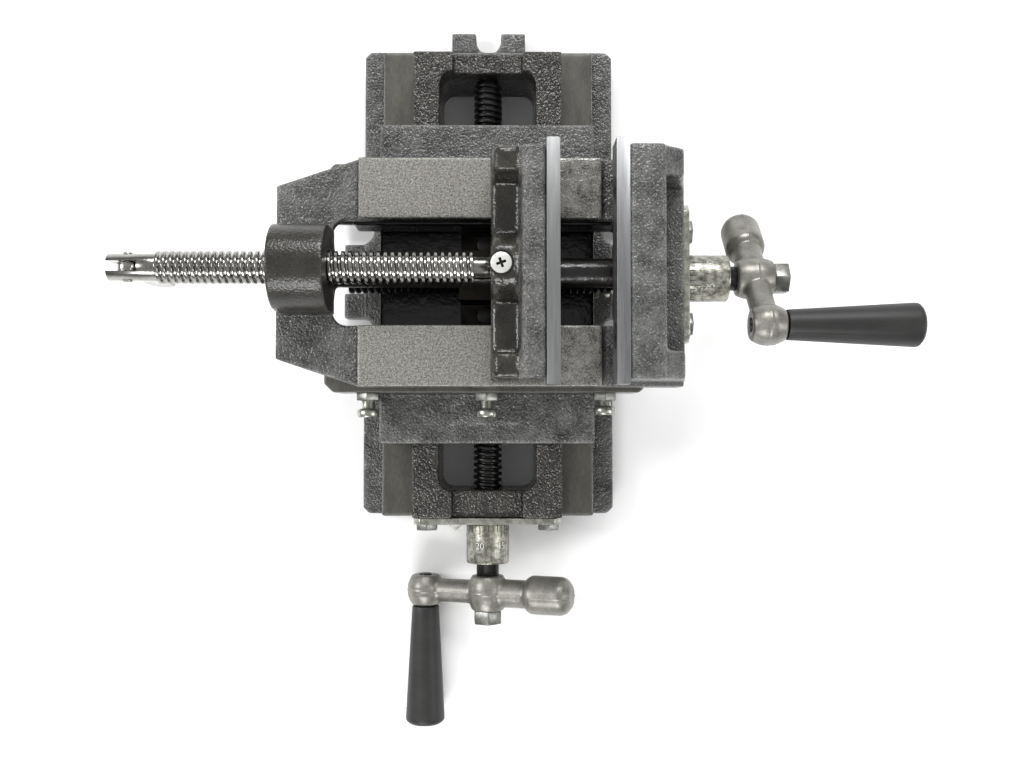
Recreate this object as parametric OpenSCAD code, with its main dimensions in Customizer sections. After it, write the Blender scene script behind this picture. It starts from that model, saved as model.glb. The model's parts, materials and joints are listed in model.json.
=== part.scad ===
// Cross slide vise: fixed base, Y saddle, X vise body, movable jaw. Millimetres, +Z up.
// Origin: centre of the base underside. +X runs along the jaw screw, +Y away from the front crank.

/* [Base] */
// Flange width across the ways
base_w = 126; // [122:1:136]
// Base length along the ways
base_l = 236; // [230:1:252]
// Flange thickness
flange_t = 12; // [10:0.5:15]
// Height of the flat ways above the table
way_z = 26; // [25:0.5:29]
// Shelf of the flange beside each way
way_shelf = 11; // [9:0.5:12]
// Height of the lower dovetail
y_dove_h = 14; // [12:0.5:15]
// Width over the top of the lower dovetail
y_dove_w = 73; // [72:0.5:76]
// Width of the screw well in the base
well_w = 46.4; // [44:0.2:48]
// Mounting slot width
slot_w = 12.5; // [11:0.5:13]
// Width of one mounting prong
prong_w = 12.6; // [12:0.2:14]
// How far the mounting prongs stand out
lug_reach = 10.5; // [8:0.5:14]

/* [Saddle] */
// Saddle length along Y
saddle_l = 151; // [146:1:156]
// Width over the upper ways
wing_w = 104; // [102:1:108]
// Thickness of the saddle roof
roof_t = 9.5; // [9:0.5:11]
// Height of the upper ways above the roof
rail_h = 18; // [17:0.5:20]
// Depth of the upper dovetail
x_dove_h = 13; // [12:0.5:13.5]
// Width over the bottom of the upper dovetail
x_dove_w = 78; // [77:0.5:79.5]
// Saddle position along Y as drawn
y_rest = -6.4; // [-12:0.2:8]

/* [Vise body] */
// Thickness of the bed over the upper ways
bed_t = 20; // [19:0.5:22]
// Width of the slot between the bed rails
bed_slot_w = 46.6; // [46:0.2:47.4]
// Width over the bed
bed_w = 100; // [98:1:102]
// Jaw height above the bed
jaw_h = 32; // [31:0.5:36]
// How far the jaw plates stand past the bed on each side
jaw_side = 0; // [-1:0.5:3]
// Jaw plate height
jaw_plate_h = 16; // [14:0.5:18]
// Jaw plate thickness
jaw_plate_t = 5.5; // [5:0.1:6.5]
// Opening between the jaw plates as drawn
jaw_gap = 22.8; // [18:0.2:26]

/* [Screws and cranks] */
// Screw thread diameter
screw_d = 14; // [13:0.5:14.5]
// Crank shaft diameter
shaft_d = 11; // [10.5:0.1:12]
// Dial diameter
dial_d = 21; // [20:0.5:23]
// Dial length
dial_l = 19.5; // [18:0.5:23]
// Crank radius to the grip
crank_r = 33; // [31:0.5:36]
// Grip length
grip_l = 58; // [54:1:66]
// Lever length from its pin
lever_l = 50; // [44:1:54]
// Lever thickness
lever_t = 4; // [3.5:0.1:4.4]

/* [Fits] */
// Sliding clearance at the ways
slide_gap = 0.05; // [0.03:0.01:0.08]
// Radial running clearance
run_gap = 0.05; // [0.03:0.01:0.08]
// Gib strip thickness
gib_t = 4; // [3.5:0.1:4.5]

/* [Hidden] */
$fn = 64;
paint = [0.30, 0.31, 0.32];
iron = [0.58, 0.58, 0.56];
steel = [0.72, 0.72, 0.72];
zinc = [0.80, 0.79, 0.74];
dark = [0.14, 0.14, 0.14];
black = [0.07, 0.07, 0.07];
bronze = [0.66, 0.52, 0.28];
over = 1;
dove_a = 60;
seat = 0.02;

way_w = base_w - 2 * way_shelf;
skirt_in = 1.5;
saddle_w = way_w - 2 * skirt_in;
wing_span = base_w + 2 * lug_reach;
block_z = way_z + y_dove_h;
y_top = y_dove_w / 2;
y_neck = y_top - y_dove_h / tan(dove_a);
roof_gap = 0.5;
roof_under = block_z + roof_gap;
floor_z = roof_under + roof_t;
rail_z = floor_z + rail_h;
x_low = x_dove_w / 2;
x_neck = x_low - x_dove_h / tan(dove_a);
x_dove_z = rail_z - x_dove_h;
body_z = rail_z + slide_gap;
bed_z = body_z + bed_t;
pad_h = 3;
slab_z = bed_z - pad_h;
jaw_z = bed_z + jaw_h;
jaw_w = bed_w + 2 * jaw_side;
plate_z = jaw_z - jaw_plate_h;
jaw_hole_z = jaw_z - jaw_plate_h / 2;
jaw_hole_y = 30;

y_axis_z = 22;
x_axis_z = rail_z - 2;
jaw_axis_z = bed_z + 10;
spine_d = 13;
spine_z = bed_z - 5;

half_l = base_l / 2;
front_wall = 13.4;
rear_wall = 10;
block_set = 9.7;
way_set = 5.5;
block_rear = half_l - block_set;
way_rear = half_l - way_set;
well_front = front_wall - half_l;
well_rear = block_rear - rear_wall;
well_r = 6;
end_notch_w = 34;
end_notch_h = 4;
web_h = 8;
web_half = 16;
lug_t = 10;
slot_bite = 4.6;
corner_c = 3;

plate_t = 3;
collar_d = 20;
collar_t = 4;
bolt_d = 6;
bolt_in = 12;
hex_6 = 10;
head_6 = 4;
hex_8 = 13;
nut_8 = 6.5;
stud_d = 8;
stud_short = 1.6;
nut_cap = 1.3;
y_nut_turn = 26;
y_plate_w = 71;
y_plate_low = 4;
y_plate_top = block_z - 1.5;
y_bolt_x = 30;
x_plate_w = 61;
x_plate_low = floor_z + 2;
x_plate_top = slab_z - 1;
x_bolt_y = 21;

dial_gap = 0.5;
y_neck_out = 6.3;
x_neck_out = 4.1;
hub_d = 19.2;
hub_end_d = 15.6;
hub_l = 17;
hub_flat = 5;
hub_round = 3;
ball_d = 18;
ball_end_d = 13.6;
ball_l = 15;
arm_d = 11.6;
neck_arm_d = 13.6;
weight_d = 18.6;
weight_tip_d = 10.4;
weight_end = 43;
weight_l = 23;
weight_round = 5;
weight_shoulder = 3;
spindle_d = 6;
grip_gap = 0.6;
grip_d0 = 13.3;
grip_d1 = 19.3;
grip_edge = 1.6;
spindle_head_d = 9;
spindle_head_t = 2;
spindle_sink = 3;
spindle_rivet = 0.6;

jaw_face = 53.6;
jaw_back = jaw_face + jaw_plate_t;
jaw_wall_t = 14.9;
wall_back = jaw_back + jaw_wall_t;
body_right = 86.5;
body_left = -91.5;
taper_x = -55.5;
taper_half = 38;
pad_right = 50.7;
slot_left = -67.6;
slot_r = 7;
core_l = 14;
core_roof = 6;
dove_left = -78;
jaw_half = jaw_w / 2 - 2;
boss_d = 36.7;
boss_left = -89.5;
boss_right = -66;
lip_t = 10;
lip_z = bed_z - lip_t;
cut_h = 6.5;
cut_z = lip_z - cut_h;
cut_half = bed_slot_w / 2 + 5.2;

move_face = jaw_face - jaw_gap;
move_wall = move_face - jaw_plate_t;
move_wall_t = 10.2;
move_l = 23;
move_rear = move_wall - move_l;
foot_h = 9;
key_in = 12.5;
key_out = bed_slot_w / 2 - 0.1;
key_x0 = move_rear + 2;
key_x1 = move_wall - 2;
keep_z = cut_z + 0.5;
keep_out = cut_half - 0.6;
keep_screw_y = 18;
retain_x = move_rear + 4.6;
retain_up = 15;
retain_z = jaw_axis_z + retain_up;
retain_d = 5;
retain_head = 9;
retain_head_t = 2.6;

thread_left = -138;
thread_right = -4.6;
tail_left = -158.6;
tail_d = 11.5;
fork_w = lever_t + 0.3;
fork_l = 13;
fork_end = tail_left + fork_l;
pin_set = 7.6;
pin_x = tail_left + pin_set;
pin_d = 4;
neck_d = 10;
groove_d = 7;
groove_w = 5.6;

gib_screw_d = 6;
gib_head_d = 10;
gib_head_t = 3.7;
gib_nut_t = 3.6;
gib_stand = 5.2;
x_gib_z = rail_z - x_dove_h / 2;
y_gib_z = way_z + y_dove_h / 2;
x_gib_at = [-54, 0, 54];
x_gib_turn = [0, 0, -1.2];
y_gib_at = [-40, 0, 40];

nut_l = 24;
nut_w = 22;
nut_wall = 2.6;
nut_foot = 44;
nut_foot_t = 6;
nut_screw_d = 5;
nut_screw_head = 8.4;
nut_screw_head_t = 4;
nut_screw_in = 6.5;
y_nut_screw_x = 15.5;
x_nut_screw_y = 16.5;
y_nut_w = 40;

// Round bars along each axis
module rod_x(x0, x1, d, y = 0, z = 0)
  translate([x0, y, z]) rotate([0, 90, 0]) cylinder(h = x1 - x0, d = d);
module rod_y(y0, y1, d, x = 0, z = 0)
  translate([x, y1, z]) rotate([90, 0, 0]) cylinder(h = y1 - y0, d = d);
module rod_z(z0, z1, d, x = 0, y = 0)
  translate([x, y, z0]) cylinder(h = z1 - z0, d = d);

// Hexagons with flats across af
module hex_x(x0, x1, af, y, z)
  translate([x0, y, z]) rotate([0, 90, 0]) cylinder(h = x1 - x0, d = af / cos(30), $fn = 6);
module hex_y(y0, y1, af, x, z)
  translate([x, y1, z]) rotate([90, 0, 0]) rotate(30) cylinder(h = y1 - y0, d = af / cos(30), $fn = 6);

// Countersunk head: wide face at x0, narrowing towards x1
module sunk_x(x0, x1, d0, d1, y, z)
  translate([x0, y, z]) rotate([0, 90, 0]) cylinder(h = x1 - x0, d1 = d0, d2 = d1);

module box(x0, x1, y0, y1, z0, z1)
  translate([x0, y0, z0]) cube([x1 - x0, y1 - y0, z1 - z0]);

// Profile in X and Z drawn along Y, and profile in Y and Z drawn along X
module along_y(y0, y1) translate([0, y1, 0]) rotate([90, 0, 0]) linear_extrude(y1 - y0) children();
module along_x(x0, x1) translate([x0, 0, 0]) rotate([90, 0, 90]) linear_extrude(x1 - x0) children();

module round_rect(x0, x1, y0, y1, r) {
  translate([x0 + r, y0]) square([x1 - x0 - 2 * r, y1 - y0]);
  translate([x0, y0 + r]) square([x1 - x0, y1 - y0 - 2 * r]);
  for (x = [x0 + r, x1 - r]) for (y = [y0 + r, y1 - r]) translate([x, y]) circle(r = r);
}

module cut_rect(x0, x1, y0, y1, c)
  polygon([[x0 + c, y0], [x1 - c, y0], [x1, y0 + c], [x1, y1 - c],
    [x1 - c, y1], [x0 + c, y1], [x0, y1 - c], [x0, y0 + c]]);

// Base
module lug_block(prongs) {
  span = prongs * prong_w + (prongs - 1) * slot_w;
  translate([-over, -span / 2]) square([lug_reach + over, span]);
}
module lug_slots(prongs, bite) {
  pitch = prong_w + slot_w;
  for (i = [0 : prongs - 2]) translate([slot_w / 2 - bite, (i - (prongs - 2) / 2) * pitch]) {
    translate([0, -slot_w / 2]) square([lug_reach + bite, slot_w]);
    circle(d = slot_w);
  }
}
module lug_sides() {
  for (m = [0, 1]) mirror([m, 0]) translate([base_w / 2, 0]) children(0);
  translate([0, half_l]) rotate(90) children(1);
}

module base_casting() color(paint) difference() {
  union() {
    linear_extrude(flange_t) cut_rect(-base_w / 2, base_w / 2, -half_l, half_l, corner_c);
    linear_extrude(lug_t) lug_sides() { lug_block(4); lug_block(2); }
    box(-way_w / 2, way_w / 2, -half_l, way_rear, flange_t - over, way_z);
    along_y(-half_l, block_rear) polygon([[-y_neck, way_z - over], [y_neck, way_z - over], [y_neck, way_z],
      [y_top, block_z], [-y_top, block_z], [-y_neck, way_z]]);
  }
  translate([0, 0, -over]) linear_extrude(flange_t + 2 * over)
    lug_sides() { lug_slots(4, slot_bite); lug_slots(2, -seat); }
  translate([0, 0, web_h]) linear_extrude(block_z)
    round_rect(-well_w / 2, well_w / 2, well_front, well_rear, well_r);
  translate([0, 0, -over]) linear_extrude(web_h + 2 * over) {
    round_rect(-well_w / 2, well_w / 2, well_front, -web_half, well_r);
    round_rect(-well_w / 2, well_w / 2, web_half, well_rear, well_r);
  }
  box(-end_notch_w / 2, end_notch_w / 2, -half_l - over, half_l + over,
    block_z - end_notch_h, block_z + over);
  rod_y(-half_l - over, well_front + over, screw_d + 2 * run_gap, 0, y_axis_z);
  rod_y(-half_l - over, collar_t + 2 * slide_gap - half_l, collar_d + 0.6, 0, y_axis_z);
  rod_y(well_rear - over, half_l + over, neck_d + 2 * run_gap, 0, y_axis_z);
  for (x = [-y_bolt_x, y_bolt_x])
    rod_y(-half_l - over, bolt_in + over - half_l, bolt_d + 2 * seat, x, y_axis_z);
}

module y_end_plate() color(zinc) {
  tab_z = y_axis_z + 4;
  tab_l = 4;
  tab_w = 8.7;
  tab_gap = 0.8;
  tab_x1 = -dial_d / 2 - tab_gap;
  tab_x0 = tab_x1 - tab_w;
  difference() {
    along_y(-half_l - plate_t, -half_l)
      cut_rect(-y_plate_w / 2, y_plate_w / 2, y_plate_low, y_plate_top, corner_c);
    rod_y(-half_l - plate_t - over, over - half_l, shaft_d + 2 * run_gap, 0, y_axis_z);
    for (x = [-y_bolt_x, y_bolt_x])
      rod_y(-half_l - plate_t - over, over - half_l, bolt_d + 0.4, x, y_axis_z);
  }
  translate([0, -half_l - plate_t, tab_z]) linear_extrude(2)
    polygon([[tab_x0, over], [tab_x0, 0], [(tab_x0 + tab_x1) / 2, -tab_l], [tab_x1, 0], [tab_x1, over]]);
}

module y_plate_bolts() color(zinc) for (x = [-y_bolt_x, y_bolt_x]) {
  hex_y(-half_l - plate_t - head_6, -half_l - plate_t, hex_6, x, y_axis_z);
  rod_y(-half_l - plate_t - over, bolt_in - half_l, bolt_d, x, y_axis_z);
}

// Lead screws, drawn along +Z outward with the collar face at zero
y_hub = plate_t + dial_gap + dial_l + y_neck_out;
x_hub = plate_t + dial_gap + dial_l + x_neck_out;
function grip_from(hub) = hub + hub_l / 2 + ball_l / 2 + grip_gap;

module screw_end(hub) {
  translate([0, 0, -collar_t - slide_gap]) cylinder(h = collar_t, d = collar_d);
  translate([0, 0, -collar_t]) cylinder(h = hub + collar_t, d = shaft_d);
  cylinder(h = hub + hub_l + nut_8 - stud_short, d = stud_d);
}
module dial() translate([0, 0, plate_t + dial_gap]) difference() {
  cylinder(h = dial_l, d = dial_d);
  translate([0, 0, -over]) cylinder(h = dial_l + 2 * over, d = shaft_d + 2 * seat);
}
// Barrel hub with a rounded eye for the grip on one arm and a weight on the other
module barrel(l, d, end_d) {
  end_r = end_d / 2;
  mid_r = d / 2;
  round_r = (end_r + 2 * mid_r) / 3;
  rotate_extrude() polygon([[0, -l / 2], [end_r, -l / 2], [round_r, hub_round - l / 2],
    [mid_r, -hub_flat / 2], [mid_r, hub_flat / 2], [round_r, l / 2 - hub_round],
    [end_r, l / 2], [0, l / 2]]);
}
module weight() {
  tip_r = weight_tip_d / 2;
  mid_r = weight_d / 2;
  round_r = (tip_r + 3 * mid_r) / 4;
  translate([-weight_end, 0, 0]) rotate([0, 90, 0]) rotate_extrude() polygon([[0, 0], [tip_r, 0],
    [round_r, weight_round / 2], [mid_r, weight_round], [mid_r, weight_l - weight_shoulder],
    [round_r, weight_l - weight_shoulder / 3], [neck_arm_d / 2, weight_l], [0, weight_l]]);
}
module crank_arm(hub) translate([0, 0, hub + hub_l / 2]) difference() {
  union() {
    barrel(hub_l, hub_d, hub_end_d);
    rod_x(0, crank_r, arm_d);
    translate([crank_r, 0, 0]) barrel(ball_l, ball_d, ball_end_d);
    rod_x(weight_l - weight_end - over, 0, neck_arm_d);
    weight();
  }
  cylinder(h = hub_l + 2 * over, d = stud_d + 2 * seat, center = true);
  translate([crank_r, 0, -ball_l]) cylinder(h = 2 * ball_l, d = spindle_d + 2 * seat);
}
// Domed nut: the stud ends inside it
module crank_nut(hub, turn) translate([0, 0, hub + hub_l]) difference() {
  rotate(turn) cylinder(h = nut_8, d = hex_8 / cos(30), $fn = 6);
  translate([0, 0, -over]) cylinder(h = nut_8 - nut_cap + over, d = stud_d + 2 * seat);
}
module grip_spindle(hub) translate([crank_r, 0, 0]) {
  head_z = grip_from(hub) + grip_l - spindle_sink;
  low_z = hub + hub_l / 2 - ball_l / 2 - spindle_rivet;
  translate([0, 0, low_z]) cylinder(h = head_z + over - low_z, d = spindle_d);
  translate([0, 0, head_z]) cylinder(h = spindle_head_t, d = spindle_head_d);
}
module grip(hub) translate([crank_r, 0, grip_from(hub)]) rotate_extrude() polygon([
  [spindle_d / 2 + run_gap, 0], [grip_d0 / 2, 0], [grip_d1 / 2, grip_l - 2 * grip_edge],
  [grip_d1 / 2, grip_l - grip_edge], [grip_d1 / 2 - grip_edge, grip_l],
  [spindle_head_d / 2 + 0.5, grip_l], [spindle_head_d / 2 + 0.5, grip_l - spindle_sink - 0.3],
  [spindle_d / 2 + run_gap, grip_l - spindle_sink - 0.3]]);

y_turn = 18;
x_turn = 45;
module at_y() translate([0, -half_l, y_axis_z]) rotate([90, 0, 0]) children();
module at_y_crank() at_y() rotate(180 + y_turn) children();
module at_x() translate([body_right, y_rest, x_axis_z]) rotate([0, 90, 0]) children();
module at_x_crank() at_x() rotate(-90 - x_turn) children();

module y_lead_screw() color(dark) {
  at_y() screw_end(y_hub);
  rod_y(-half_l + collar_t, well_rear - 1.6, screw_d, 0, y_axis_z);
  rod_y(well_rear - 2, block_rear - 1, neck_d, 0, y_axis_z);
}
module y_dial() color(zinc) at_y() dial();
module y_crank_arm() color(steel) at_y_crank() crank_arm(y_hub);
module y_crank_nut() color(zinc) at_y() crank_nut(y_hub, y_nut_turn);
module y_grip_spindle() color(dark) at_y_crank() grip_spindle(y_hub);
module y_grip() color(black) at_y_crank() grip(y_hub);

// Saddle
module gib_half(side, z0, z1, in0, in1, t)
  polygon([[side * in0, z0], [side * in1, z1], [side * (in1 + t), z1], [side * (in0 + t), z0]]);

module saddle_casting() color(paint) translate([0, y_rest, 0]) difference() {
  half_s = saddle_l / 2;
  wing_in = 28;
  wing_z = floor_z - 4;
  inner = saddle_w / 2;
  y_side = y_top + slide_gap;
  y_bot = y_neck + slide_gap;
  x_top = x_neck + slide_gap;
  x_bot = x_low + slide_gap;
  g = gib_t + slide_gap;
  pad_w = 31;
  pad_l = 14;
  union() {
    box(-inner, inner, -half_s, half_s, way_z + slide_gap, floor_z);
    translate([0, 0, wing_z]) linear_extrude(rail_z - wing_z) difference() {
      cut_rect(-wing_span / 2, wing_span / 2, -wing_w / 2, wing_w / 2, corner_c + 1);
      for (m = [0, 1]) mirror([m, 0]) round_rect(inner, wing_span, -wing_in, wing_in, 6);
    }
    box(-pad_w / 2, pad_w / 2, -wing_w / 2 - pad_l, over - wing_w / 2, floor_z - over, floor_z + 0.8);
  }
  along_y(-half_s - over, half_s + over) polygon([[-y_bot, way_z - over], [-y_bot, way_z],
    [-y_side, block_z], [-y_side, roof_under], [y_side + g, roof_under], [y_side + g, block_z],
    [y_bot + g, way_z], [y_bot + g, way_z - over]]);
  along_x(-wing_span, wing_span) polygon([[x_top, rail_z + over], [x_top, rail_z], [x_bot, x_dove_z],
    [x_bot, floor_z], [-x_bot - g, floor_z], [-x_bot - g, x_dove_z], [-x_top - g, rail_z],
    [-x_top - g, rail_z + over]]);
  for (x = x_gib_at) rod_y(-wing_w, -x_top, gib_screw_d + 2 * seat, x, x_gib_z);
  for (y = y_gib_at) rod_x(y_bot, saddle_w, gib_screw_d + 2 * seat, y, y_gib_z);
  for (x = [-y_nut_screw_x, y_nut_screw_x])
    rod_z(roof_under - over, roof_under + nut_screw_in + 0.5, nut_screw_d + 2 * seat, x, 0);
  for (y = [-x_nut_screw_y, x_nut_screw_y])
    rod_z(floor_z - nut_screw_in - 0.5, floor_z + over, nut_screw_d + 2 * seat, 0, y);
}

module y_nut() color(bronze) translate([0, y_rest, 0]) difference() {
  low = y_axis_z - screw_d / 2 - nut_wall;
  foot_z = roof_under - nut_foot_t;
  union() {
    box(-nut_w / 2, nut_w / 2, -nut_l / 2, nut_l / 2, low, roof_under);
    box(-y_nut_w / 2, y_nut_w / 2, -nut_l / 2, nut_l / 2, foot_z, roof_under);
  }
  rod_y(-nut_l, nut_l, screw_d + 2 * run_gap, 0, y_axis_z);
  for (x = [-y_nut_screw_x, y_nut_screw_x])
    rod_z(foot_z - over, roof_under + over, nut_screw_d + 0.4, x, 0);
}
module y_nut_screws() color(steel) translate([0, y_rest, 0])
  for (x = [-y_nut_screw_x, y_nut_screw_x]) {
    rod_z(roof_under - nut_foot_t - nut_screw_head_t, roof_under - nut_foot_t, nut_screw_head, x, 0);
    rod_z(roof_under - nut_foot_t - over, roof_under + nut_screw_in, nut_screw_d, x, 0);
  }

module x_nut() color(bronze) translate([0, y_rest, 0]) difference() {
  top = x_axis_z + screw_d / 2 + nut_wall;
  union() {
    box(-nut_l / 2, nut_l / 2, -nut_w / 2, nut_w / 2, floor_z, top);
    box(-nut_l / 2, nut_l / 2, -nut_foot / 2, nut_foot / 2, floor_z, floor_z + nut_foot_t);
  }
  rod_x(-nut_l, nut_l, screw_d + 2 * run_gap, 0, x_axis_z);
  for (y = [-x_nut_screw_y, x_nut_screw_y])
    rod_z(floor_z - over, floor_z + nut_foot_t + over, nut_screw_d + 0.4, 0, y);
}
module x_nut_screws() color(steel) translate([0, y_rest, 0])
  for (y = [-x_nut_screw_y, x_nut_screw_y]) {
    rod_z(floor_z + nut_foot_t, floor_z + nut_foot_t + nut_screw_head_t, nut_screw_head, 0, y);
    rod_z(floor_z - nut_screw_in, floor_z + nut_foot_t + over, nut_screw_d, 0, y);
  }

module y_gib() color(steel) translate([0, y_rest, 0])
  along_y(-saddle_l / 2 + 1, saddle_l / 2 - 1)
    gib_half(1, way_z + slide_gap, block_z, y_neck + slide_gap, y_top + slide_gap, gib_t);
module x_gib() color(steel) translate([0, y_rest, 0])
  along_x(-wing_span / 2 + 1, wing_span / 2 - 1)
    gib_half(-1, x_dove_z, rail_z - slide_gap, x_low + slide_gap, x_neck + slide_gap, gib_t);

// Screw tips stop where the round end meets the sloping back of the strip
y_gib_tip = y_neck + slide_gap + gib_t + (y_dove_h / 2 + gib_screw_d / 2) / tan(dove_a) + seat;
x_gib_tip = x_neck + slide_gap + gib_t + (x_dove_h / 2 + gib_screw_d / 2) / tan(dove_a) + seat;

module y_gib_screws() color(zinc) translate([0, y_rest, 0]) for (y = y_gib_at) {
  rod_x(y_gib_tip, saddle_w / 2 + gib_stand + over, gib_screw_d, y, y_gib_z);
  rod_x(saddle_w / 2 + gib_stand, saddle_w / 2 + gib_stand + gib_head_t, gib_head_d, y, y_gib_z);
}
module y_gib_locknuts() color(zinc) translate([0, y_rest, 0]) difference() {
  for (y = y_gib_at) hex_x(saddle_w / 2, saddle_w / 2 + gib_nut_t, hex_6, y, y_gib_z);
  for (y = y_gib_at) rod_x(0, saddle_w, gib_screw_d + 2 * seat, y, y_gib_z);
}
module x_gib_screws() color(zinc) translate([0, y_rest, 0]) for (i = [0 : 2]) {
  out = wing_w / 2 + gib_stand + x_gib_turn[i];
  rod_y(-out - over, -x_gib_tip, gib_screw_d, x_gib_at[i], x_gib_z);
  rod_y(-out - gib_head_t, -out, gib_head_d, x_gib_at[i], x_gib_z);
}
module x_gib_locknuts() color(zinc) translate([0, y_rest, 0]) difference() {
  for (x = x_gib_at) hex_y(-wing_w / 2 - gib_nut_t, -wing_w / 2, hex_6, x, x_gib_z);
  for (x = x_gib_at) rod_y(-wing_w, 0, gib_screw_d + 2 * seat, x, x_gib_z);
}

// Vise body
module body_outline() polygon([[body_left, -taper_half], [taper_x, -bed_w / 2], [body_right, -bed_w / 2],
  [body_right, bed_w / 2], [taper_x, bed_w / 2], [body_left, taper_half]]);

module vise_body_casting() color(paint) translate([0, y_rest, 0]) difference() {
  lug_in = 36;
  lug_low = 9;
  lug_back = 4;
  end_up = 3;
  union() {
    difference() {
      union() {
        translate([0, 0, body_z]) linear_extrude(slab_z - body_z) body_outline();
        box(taper_x, pad_right, -bed_w / 2, bed_w / 2, slab_z - over, bed_z);
        along_x(dove_left, body_right) polygon([[-x_neck, body_z + over], [-x_neck, rail_z],
          [-x_low, x_dove_z], [x_low, x_dove_z], [x_neck, rail_z], [x_neck, body_z + over]]);
      }
      translate([0, 0, x_dove_z - over]) linear_extrude(bed_z - x_dove_z + 2 * over)
        round_rect(slot_left, jaw_back + slot_r, -bed_slot_w / 2, bed_slot_w / 2, slot_r);
      box(slot_left - core_l, slot_left + slot_r, -bed_slot_w / 2, bed_slot_w / 2,
        x_dove_z - over, slab_z - core_roof);
      box(slot_left + slot_r, jaw_back - over, -cut_half, cut_half, cut_z, lip_z);
    }
    box(jaw_back, body_right, -bed_slot_w / 2 - over, bed_slot_w / 2 + over, x_dove_z, slab_z);
    box(jaw_back, wall_back, -jaw_half, jaw_half, slab_z - over, jaw_z - 0.5);
    box(wall_back - over, body_right, -jaw_half, jaw_half, slab_z - over, slab_z + end_up);
    for (m = [0, 1]) mirror([0, m, 0]) translate([0, jaw_half, 0]) rotate([90, 0, 0])
      linear_extrude(jaw_half - lug_in) polygon([[wall_back - over, slab_z], [body_right, slab_z],
        [body_right - lug_back, jaw_z - lug_low], [wall_back - over, jaw_z - 2]]);
    rod_x(boss_left, boss_right, boss_d, 0, jaw_axis_z);
    box(boss_left, boss_right, -boss_d / 2, boss_d / 2, slab_z - over, jaw_axis_z);
    rod_x(boss_right - over, jaw_back + over, spine_d, 0, spine_z);
  }
  rod_x(boss_left - over, boss_right + over, screw_d + 2 * run_gap, 0, jaw_axis_z);
  rod_x(jaw_back - over, body_right + over, screw_d + 2 * run_gap, 0, x_axis_z);
  rod_x(body_right - collar_t - 2 * slide_gap, body_right + over, collar_d + 0.6, 0, x_axis_z);
  for (y = [-x_bolt_y, x_bolt_y])
    rod_x(body_right - bolt_in - over, body_right + over, bolt_d + 2 * seat, y, x_axis_z);
  for (y = [-jaw_hole_y, jaw_hole_y])
    rod_x(jaw_back - over, jaw_back + bolt_in + over, bolt_d + 2 * seat, y, jaw_hole_z);
}

sunk_d = 11.4;
sunk_t = 3.2;
module jaw_plate(x0) translate([0, y_rest, 0])
  box(x0, x0 + jaw_plate_t, -jaw_w / 2, jaw_w / 2, plate_z, jaw_z);
module fixed_jaw_plate() color(steel) difference() {
  jaw_plate(jaw_face);
  for (y = [-jaw_hole_y, jaw_hole_y]) {
    rod_x(jaw_face - over, jaw_back + over, bolt_d + 0.4, y_rest + y, jaw_hole_z);
    sunk_x(jaw_face - seat, jaw_face + sunk_t, sunk_d + 0.4, bolt_d + 0.4, y_rest + y, jaw_hole_z);
  }
}
module fixed_jaw_screws() color(dark) for (y = [-jaw_hole_y, jaw_hole_y]) {
  sunk_x(jaw_face + 0.1, jaw_face + 0.1 + sunk_t, sunk_d, bolt_d, y_rest + y, jaw_hole_z);
  rod_x(jaw_face + 1, jaw_back + bolt_in, bolt_d, y_rest + y, jaw_hole_z);
}

module x_end_plate() color(zinc) translate([0, y_rest, 0]) difference() {
  along_x(body_right, body_right + plate_t)
    cut_rect(-x_plate_w / 2, x_plate_w / 2, x_plate_low, x_plate_top, corner_c);
  rod_x(body_right - over, body_right + plate_t + over, shaft_d + 2 * run_gap, 0, x_axis_z);
  for (y = [-x_bolt_y, x_bolt_y])
    rod_x(body_right - over, body_right + plate_t + over, bolt_d + 0.4, y, x_axis_z);
}
module x_plate_bolts() color(zinc) translate([0, y_rest, 0]) for (y = [-x_bolt_y, x_bolt_y]) {
  hex_x(body_right + plate_t, body_right + plate_t + head_6, hex_6, y, x_axis_z);
  rod_x(body_right - bolt_in, body_right + plate_t + over, bolt_d, y, x_axis_z);
}

x_thread_left = -62;
module x_lead_screw() color(dark) {
  at_x() screw_end(x_hub);
  rod_x(x_thread_left, body_right - collar_t, screw_d, y_rest, x_axis_z);
}
module x_dial() color(zinc) at_x() dial();
module x_crank_arm() color(steel) at_x_crank() crank_arm(x_hub);
module x_crank_nut() color(zinc) at_x() crank_nut(x_hub, 0);
module x_grip_spindle() color(dark) at_x_crank() grip_spindle(x_hub);
module x_grip() color(black) at_x_crank() grip(x_hub);

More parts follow.
